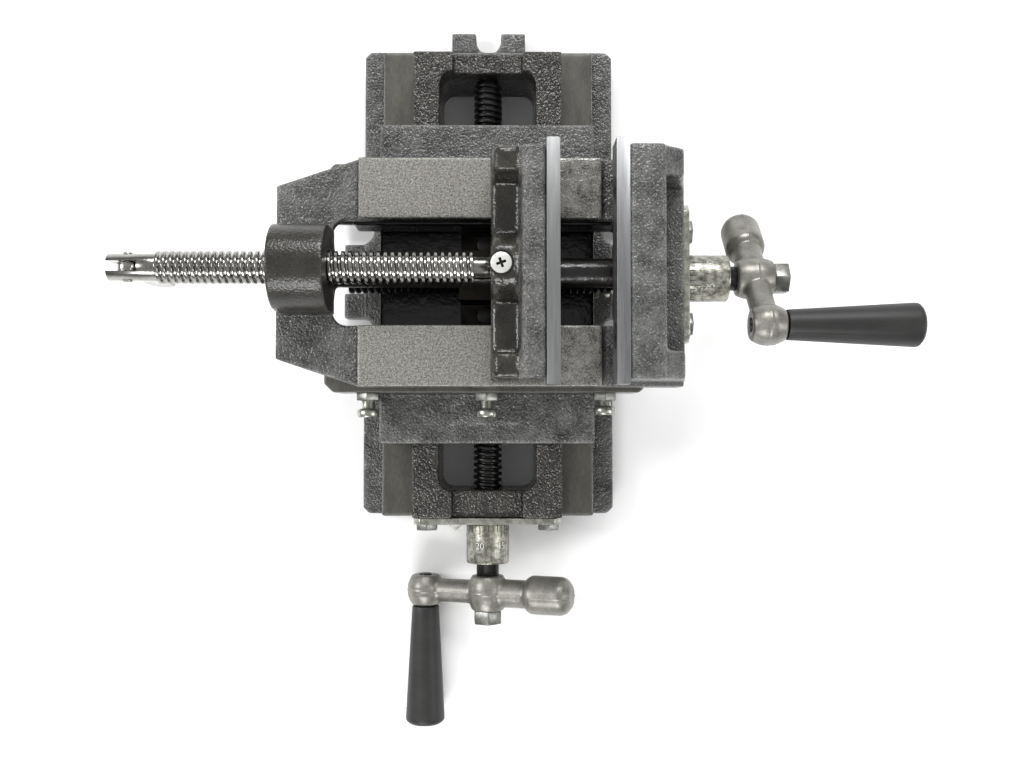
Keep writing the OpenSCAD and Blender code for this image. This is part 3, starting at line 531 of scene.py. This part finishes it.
def makeScrew(node, row):
    piece = copySolid(node, pieceName(node))
    first, last = row["span"]
    long = row["axis"]
    centre = Vector(row["centre"])
    reach = threadSizes["reach"]
    for vert in piece.data.vertices:  # the plain bar sinks under the thread
        spot = vert.co / mm
        off = spot - centre
        off[long] = 0
        inSpan = first - reach <= spot[long] <= last + reach
        if inSpan and abs(off.length - threadSizes["bar"]) < threadSizes["match"]:
            sunk = centre + off * ((threadSizes["root"] - threadSizes["sink"]) / off.length)
            sunk[long] = spot[long]
            vert.co = sunk * mm
    soften(piece, row["edge"])
    piece.data.materials.append(row["mat"])
    place = centre.copy()
    place[long] = (first + last) / 2
    turn = (math.radians(-90), 0, 0) if long else (0, math.radians(90), 0)
    length = last - first
    thread = growMesh(threadTree, threadKeys, {
        "Length": length * mm, "Pitch": threadSizes["pitch"] * mm, "Root": threadSizes["root"] * mm,
        "Crest": threadSizes["crest"] * mm, "Hand": float(row["hand"]),
        "Rings": int(length / threadSizes["pitch"] * threadSizes["ringsPerPitch"]),
        "Turn": turn, "Place": place * mm, "Material": row["mat"]})
    joinMesh(piece, thread)
    settle(piece, node)


for node, row in screws.items():
    makeScrew(node, row)
print("threaded screws:", len(screws))


dial = {"divisions": 30, "figureEvery": 5, "mark": 3.6, "longMark": 1.75, "width": 0.38,
        "depth": 0.5, "proud": 0.04, "figure": 4.6, "figureAt": 10.6, "edge": 0.2, "raised": 0.09,
        "worn": 0.7, "wornSegments": 3}


def growMarkTree():
    tree, get, keys = newTree("dialMarks", {
        "Count": "Int", "Radius": "Float", "Length": "Float", "Width": "Float", "Depth": "Float",
        "Long": "Float", "Material": "Material"})
    ring = addNode(tree, "GeometryNodeMeshCircle", inputs={
        "Vertices": get["Count"], "Radius": get["Radius"]})
    bulk = addNode(tree, "ShaderNodeCombineXYZ", inputs={
        "X": get["Depth"], "Y": get["Width"], "Z": get["Length"]})
    lift = addNode(tree, "ShaderNodeCombineXYZ", inputs={
        "Z": maths(tree, "MULTIPLY", get["Length"], 0.5)})
    bar = addNode(tree, "GeometryNodeMeshCube", inputs={"Size": bulk.outputs[0]})
    footed = addNode(tree, "GeometryNodeTransform", inputs={
        "Geometry": bar.outputs["Mesh"], "Translation": lift.outputs[0]})
    facing = addNode(tree, "FunctionNodeAlignRotationToVector", {"axis": "X"}, {
        "Vector": addNode(tree, "GeometryNodeInputPosition").outputs[0]})
    index = addNode(tree, "GeometryNodeInputIndex").outputs[0]
    past = maths(tree, "MODULO", index, float(dial["figureEvery"]))
    stretch = addNode(tree, "ShaderNodeMapRange", inputs={  # a mark under a figure is longer
        "Value": maths(tree, "LESS_THAN", past, 0.5), "To Min": 1.0, "To Max": get["Long"]})
    scale = addNode(tree, "ShaderNodeCombineXYZ", inputs={
        "X": 1.0, "Y": 1.0, "Z": stretch.outputs["Result"]})
    marks = addNode(tree, "GeometryNodeInstanceOnPoints", inputs={
        "Points": ring.outputs["Mesh"], "Instance": footed.outputs["Geometry"],
        "Rotation": facing.outputs["Rotation"], "Scale": scale.outputs[0]})
    closeTree(tree, marks.outputs["Instances"], get["Material"])
    return tree, keys


markTree, markKeys = growMarkTree()


def figureMesh(text, bold):
    curve = bpy.data.curves.new("figure" + text, "FONT")
    curve.body = text
    curve.size = dial["figure"] * mm
    curve.align_x = "CENTER"
    curve.align_y = "CENTER"
    curve.offset = bold * mm
    holder = newPiece("figure" + text, curve)
    mesh = bakedMesh(holder)
    bpy.data.objects.remove(holder)
    return mesh


def makeDial(node, turned, zero):
    # drawn round +Z from the plate's rim, then turned onto the shaft
    lo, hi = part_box(node)
    radius = (hi.z - lo.z) / 2
    piece = copySolid(node, pieceName(node))
    soften(piece, dial["worn"], dial["wornSegments"])
    for mat in (dialZinc, inkAndShadow, whiteZinc):
        piece.data.materials.append(mat)
    marks = growMesh(markTree, markKeys, {
        "Count": dial["divisions"], "Radius": radius - (dial["depth"] / 2 - dial["proud"]) * mm,
        "Length": dial["mark"] * mm, "Width": dial["width"] * mm, "Depth": dial["depth"] * mm,
        "Long": dial["longMark"], "Material": inkAndShadow})
    marks.transform(turned @ Matrix.Rotation(zero, 4, "Z"))
    layers = {1: [marks], 2: []}  # marks in ink; painted shadow edges below, bare raised figures above
    for number in range(0, dial["divisions"], dial["figureEvery"]):
        # a bolder copy in painted shadow outlines each raised figure
        for index, bold, proud in ((1, dial["edge"], dial["proud"]), (2, 0.0, dial["raised"])):
            mesh = figureMesh(str(number), bold)
            out = radius + proud * mm
            for vert in mesh.vertices:
                angle = zero + 2 * math.pi * number / dial["divisions"] - vert.co.x / radius
                along = dial["figureAt"] * mm - vert.co.y
                vert.co = (out * math.cos(angle), out * math.sin(angle), along)
            mesh.transform(turned)
            layers[index].append(mesh)
    for index, meshes in layers.items():
        start = len(piece.data.polygons)
        joinMesh(piece, *meshes)
        for face in piece.data.polygons[start:]:
            face.material_index = index
    settle(piece, node)


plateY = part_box("y_dial")[1].y
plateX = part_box("x_dial")[0].x
# foot on the plate in metres, axes (+Z runs out, +X straight up) and the zero's turn in degrees
dials = {
    "y_dial": ((0, plateY, lowerScrewZ * mm), ((0, -1, 0), (0, 0, -1), (1, 0, 0)), -219.3),
    "x_dial": ((plateX, middleY * mm, upperScrewZ * mm), ((0, 0, 1), (0, -1, 0), (1, 0, 0)), -36),
}
for node, (foot, axes, zero) in dials.items():
    makeDial(node, Matrix.Translation(foot) @ Matrix(axes).to_4x4(), math.radians(zero))
print("dials:", len(dials))


crank = {"voxel": 0.42, "smooth": 28, "flash": 0.3, "flashWide": 0.5}
cranks = {"y_crank_arm": 1, "x_crank_arm": 0}  # the axis that crosses the parting line


def makeCrank(node, axis):
    piece = copySolid(node, pieceName(node))
    melt(piece, crank["voxel"], crank["smooth"])
    lo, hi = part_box(node)
    middle = (lo[axis] + hi[axis]) / 2
    for vert in piece.data.vertices:  # flash left on the parting line
        off = abs(vert.co[axis] - middle) / mm
        if off < crank["flashWide"]:
            vert.co += vert.normal * crank["flash"] * mm * (1 - off / crank["flashWide"])
    piece.data.materials.append(crankCast)
    settle(piece, node)


for node, axis in cranks.items():
    makeCrank(node, axis)
print("cranks:", len(cranks))


plainPieces = {  # worn edge in mm, and finish
    "y_end_plate": (0.35, zincPlate), "x_end_plate": (0.35, zincPlate),
    "y_plate_bolts": (0.5, boltZinc), "x_plate_bolts": (0.5, boltZinc),
    "y_crank_nut": (0.6, boltZinc), "x_crank_nut": (0.6, boltZinc),
    "y_grip_spindle": (0.3, blackOxide), "x_grip_spindle": (0.3, blackOxide),
    "y_nut": (0.4, shadedBronze), "x_nut": (0.4, shadedBronze),
    "y_nut_screws": (0.3, blackOxide), "x_nut_screws": (0.3, blackOxide),
    "y_gib": (0.2, gibSteel), "x_gib": (0.2, gibSteel),
    "y_gib_screws": (2.0, zincPlate), "x_gib_screws": (2.0, zincPlate),
    "y_gib_locknuts": (0.4, boltZinc), "x_gib_locknuts": (0.4, boltZinc),
    "fixed_jaw_plate": (0.25, jawSteel), "movable_jaw_plate": (0.25, jawSteel),
    "fixed_jaw_screws": (0.2, blackOxide), "movable_jaw_screws": (0.2, blackOxide),
    "jaw_keepers": (0.3, gibSteel), "keeper_screws": (0.3, zincPlate),
    "jaw_retaining_screw": (0.3, whiteZinc), "lever_pin": (0.5, zincPlate),
    "jaw_lever": (0.5, brightNickel),
    "y_grip": (0.5, gripPlastic), "x_grip": (0.5, gripPlastic),
}
recess = {"cross": 1.2, "reach": 2.4, "deep": 2.0, "above": 0.6, "tipReach": 0.5, "tipCross": 0.7,
          "turn": 20, "hexAcross": 4.0, "hexDeep": 2.2, "hexRatio": 1.732}


def placeCutter(edit, place, axis):
    mesh = plainMesh(edit, "cutter")
    facing = Vector(axis).to_track_quat("Z", "Y").to_matrix().to_4x4()
    mesh.transform(Matrix.Translation(Vector(place) * mm) @ facing)
    return mesh


def crossCutter(place, axis):  # tapered driver cross; the axis points out of the head
    edit = bmesh.new()
    for turn in (0, 90):
        bar = bmesh.ops.create_cube(edit, size=1)["verts"]
        for vert in bar:
            deep = vert.co.z < 0
            long = 2 * recess["reach"] * (recess["tipReach"] if deep else 1.0)
            wide = recess["cross"] * (recess["tipCross"] if deep else 1.0)
            high = -recess["deep"] if deep else recess["above"]
            vert.co = Vector((vert.co.x * long, vert.co.y * wide, high)) * mm
        turned = Matrix.Rotation(math.radians(turn + recess["turn"]), 3, "Z")
        bmesh.ops.rotate(edit, verts=bar, matrix=turned)
    return placeCutter(edit, place, axis)


def hexCutter(place, axis):
    edit = bmesh.new()
    radius = recess["hexAcross"] / recess["hexRatio"] * mm
    bmesh.ops.create_cone(edit, cap_ends=True, segments=6, radius1=radius, radius2=radius,
                          depth=2 * recess["hexDeep"] * mm)
    return placeCutter(edit, place, axis)


gibHead = {"further": 2.4, "reach": 5.0}  # the upper gib screws' heads are backed out by that much
# where the driver recesses lie; for the upper gib screws, x and how much less each stands out
heads = {
    "upperX": {-54: 0, 0: 0, 54: 1.2}, "upperDrop": 6.5, "lowerY": (-40, 0, 40), "lowerZ": 33,
    "plateY": (-30, 30), "plateZ": 112.05}


def backOut(piece, node):
    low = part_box(node)[0].y
    for vert in piece.data.vertices:
        if vert.co.y < low + gibHead["reach"] * mm:
            vert.co.y -= gibHead["further"] * mm


def headPlaces(node):
    lo, hi = (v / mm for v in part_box(node))
    if node == "x_gib_screws":
        front = lo.y - gibHead["further"]
        return [((x, front + less, railZ - heads["upperDrop"]), (0, -1, 0))
                for x, less in heads["upperX"].items()]
    if node == "y_gib_screws":
        return [((hi.x, middleY + y, heads["lowerZ"]), (1, 0, 0)) for y in heads["lowerY"]]
    if node == "jaw_retaining_screw":
        return [(((lo.x + hi.x) / 2, middleY, hi.z), (0, 0, 1))]
    out, way = (lo.x, -1) if node == "fixed_jaw_screws" else (hi.x, 1)
    return [((out, middleY + y, heads["plateZ"]), (way, 0, 0)) for y in heads["plateY"]]


retainer = {"inner": 4.45, "outer": 5.2, "deep": 0.5, "proud": 0.03, "sides": 48,
            "crossOut": 2.6, "crossDeep": -2.4, "crossTop": -0.15}


def markRetainer(piece):  # painted shadow: a black ring round the head where its countersink gap lies, and painted shade in the driver cross
    lo, hi = (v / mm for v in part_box("jaw_retaining_screw"))
    middle = Vector(((lo.x + hi.x) / 2, middleY, hi.z))
    sides = retainer["sides"]
    piece.data.materials.append(blackEnamelAndShade)
    for face in piece.data.polygons:
        off = face.center / mm - middle
        inCross = math.hypot(off.x, off.y) < retainer["crossOut"]
        if inCross and retainer["crossDeep"] < off.z < retainer["crossTop"]:
            face.material_index = 1
    edit = bmesh.new()
    edit.from_mesh(piece.data)
    angles = [k * math.pi / (sides / 2) for k in range(sides)]
    rims = []
    for rim, rise in (("inner", retainer["proud"]), ("outer", retainer["proud"]),
                      ("outer", -retainer["deep"]), ("inner", -retainer["deep"])):
        radius = retainer[rim]
        spots = [Vector((radius * math.cos(angle), radius * math.sin(angle), rise))
                 for angle in angles]
        rims.append([edit.verts.new((middle + spot) * mm) for spot in spots])
    for low, high in zip(rims, rims[1:] + rims[:1]):
        for k in range(sides):
            after = (k + 1) % sides
            face = edit.faces.new((low[k], high[k], high[after], low[after]))
            face.material_index = 1
    bmesh.ops.recalc_face_normals(edit, faces=edit.faces)
    edit.to_mesh(piece.data)
    edit.free()


pointerSide = {"y_end_plate": (1, plateY), "x_end_plate": (0, plateX)}
pointerFrom = 0.2  # mm past the plate's outer face
recessed = {"x_gib_screws": crossCutter, "y_gib_screws": crossCutter,
            "jaw_retaining_screw": crossCutter,
            "fixed_jaw_screws": hexCutter, "movable_jaw_screws": hexCutter}
for node, (width, mat) in plainPieces.items():
    piece = copySolid(node, pieceName(node))
    if node == "x_gib_screws":
        backOut(piece, node)
    soften(piece, width)
    if node in recessed:
        cutRecess(piece, [recessed[node](*spot) for spot in headPlaces(node)])
    piece.data.materials.append(mat)
    if node == "jaw_retaining_screw":
        markRetainer(piece)
    if node in pointerSide:  # the tab beside the dial is bare and brown
        axis, outer = pointerSide[node]
        piece.data.materials.append(crankCast)
        for face in piece.data.polygons:
            face.material_index = int(abs(face.center[axis]) > abs(outer) + pointerFrom * mm)
    settle(piece, node)
print("plain pieces:", len(plainPieces))


view = {"from": (8.4, -71.4, 525.0), "focal": 1012.0, "nadir": (504.8, 421.2),  # mm, and pixels
        "wide": 1024, "high": 768, "sensor": 36, "nearest": 0.01}


def addCamera():
    # the photo is taken close and almost straight down; the nadir's pixel gives the tilt
    down = Vector(((view["nadir"][0] - view["wide"] / 2) / view["focal"],
                   (view["nadir"][1] - view["high"] / 2) / view["focal"], 1)).normalized()
    across = Vector((1, 0, 0))
    across = (across - down * across.dot(down)).normalized()
    back = across.cross(down)  # the world axes in photo axes: x right, y down, z forward
    turn = Matrix((across, back, -down)) @ Matrix(((1, 0, 0), (0, -1, 0), (0, 0, -1)))
    cam = bpy.data.cameras.new("photoCamera")
    cam.sensor_width = view["sensor"]
    cam.lens = view["sensor"] * view["focal"] / view["wide"]
    cam.clip_start = view["nearest"]
    piece = newPiece("photoCamera", cam)
    piece.matrix_world = Matrix.Translation(Vector(view["from"]) * mm) @ turn.to_4x4()
    scene.camera = piece


lamps = {  # place, aim and size in metres, and watts
    "rearSoftbox": ((0.1, 0.95, 0.85), (0, 0, 0.05), (0.8, 0.35), 12.0),
    "leftSoftbox": ((-0.95, 0.1, 0.8), (0, 0, 0.05), (0.3, 0.5), 7.0),
    "rightSoftbox": ((0.95, -0.25, 0.7), (0, 0, 0.05), (0.3, 0.6), 3.2),
    "frontSoftbox": ((-0.2, -0.95, 0.75), (0, -0.05, 0.05), (0.6, 0.3), 7.5),
}


def addLamp(name, place, aim, size, power):
    lamp = bpy.data.lights.new(name, "AREA")
    lamp.shape = "RECTANGLE"
    lamp.size, lamp.size_y = size
    lamp.energy = power
    piece = newPiece(name, lamp)
    piece.location = place
    piece.rotation_euler = (Vector(aim) - Vector(place)).to_track_quat("-Z", "Y").to_euler()


sweep = {"half": 20.0, "under": 0.0002, "glowFrom": 0.4, "glowFull": 0.9}  # metres


def addFloor():
    mesh = bpy.data.meshes.new("floor")
    half = sweep["half"]
    corners = [(-half, -half, 0), (half, -half, 0), (half, half, 0), (-half, half, 0)]
    mesh.from_pydata(corners, [], [(0, 1, 2, 3)])
    floor = newPiece("floor", mesh)
    floor.location.z = -sweep["under"]
    mat = bpy.data.materials.new("white sweep")  # paper: matte, reads white and keeps the shadow
    mat.use_nodes = True
    tree = mat.node_tree
    shader = tree.nodes["Principled BSDF"]
    shader.inputs["Base Color"].default_value = fromHex("#ffffff")
    shader.inputs["Roughness"].default_value = 1.0
    shader.inputs["Specular IOR Level"].default_value = 0.0
    spot = addNode(tree, "ShaderNodeTexCoord").outputs["Object"]
    away = addNode(tree, "ShaderNodeVectorMath", {"operation": "LENGTH"}, {0: spot})
    far = addNode(tree, "ShaderNodeMapRange", inputs={
        "Value": away.outputs["Value"],
        "From Min": sweep["glowFrom"], "From Max": sweep["glowFull"]})
    path = addNode(tree, "ShaderNodeLightPath").outputs
    seen = path["Is Camera Ray"]
    for other in ("Is Glossy Ray", "Is Transmission Ray"):
        seen = maths(tree, "MAXIMUM", seen, path[other])
    glow = addNode(tree, "ShaderNodeEmission", inputs={
        "Color": fromHex("#ffffff"), "Strength": 1.0})
    blend = addNode(tree, "ShaderNodeMixShader", inputs={
        0: maths(tree, "MULTIPLY", far.outputs["Result"], seen),
        1: shader.outputs["BSDF"], 2: glow.outputs["Emission"]})
    tree.links.new(blend.outputs["Shader"], tree.nodes["Material Output"].inputs["Surface"])
    mesh.materials.append(mat)


# light levels, and heights as the sine of the way up
room = {"wall": 0.11, "ceiling": 0.54, "ceilingFrom": 0.8, "bandTop": 0.12}


def addRoom():
    world = bpy.data.worlds.new("studio")
    scene.world = world
    world.use_nodes = True
    sky = world.node_tree
    back = sky.nodes["Background"].inputs
    back["Color"].default_value = fromHex("#ffffff")
    way = addNode(sky, "ShaderNodeTexCoord").outputs["Generated"]
    height = addNode(sky, "ShaderNodeSeparateXYZ", inputs={0: way}).outputs["Z"]
    walls = addNode(sky, "ShaderNodeMapRange", inputs={  # dim walls under a pale ceiling
        "Value": height, "From Min": 0.0, "From Max": room["ceilingFrom"],
        "To Min": room["wall"], "To Max": room["ceiling"]})
    ground = addNode(sky, "ShaderNodeMapRange", inputs={  # a thin white band, as of the sweep's end
        "Value": height, "From Min": 0.0, "From Max": room["bandTop"],
        "To Min": 1.0, "To Max": 0.0})
    path = addNode(sky, "ShaderNodeLightPath").outputs
    mirrored = maths(sky, "MAXIMUM", path["Is Glossy Ray"], path["Is Transmission Ray"])
    band = maths(sky, "MULTIPLY", ground.outputs["Result"], mirrored)
    seen = maths(sky, "MAXIMUM", path["Is Camera Ray"], band)
    sky.links.new(maths(sky, "MAXIMUM", walls.outputs["Result"], seen), back["Strength"])


addCamera()
addFloor()
addRoom()
for name, row in lamps.items():
    addLamp(name, *row)
scene.view_settings.view_transform = "Standard"
print("stage and camera set")
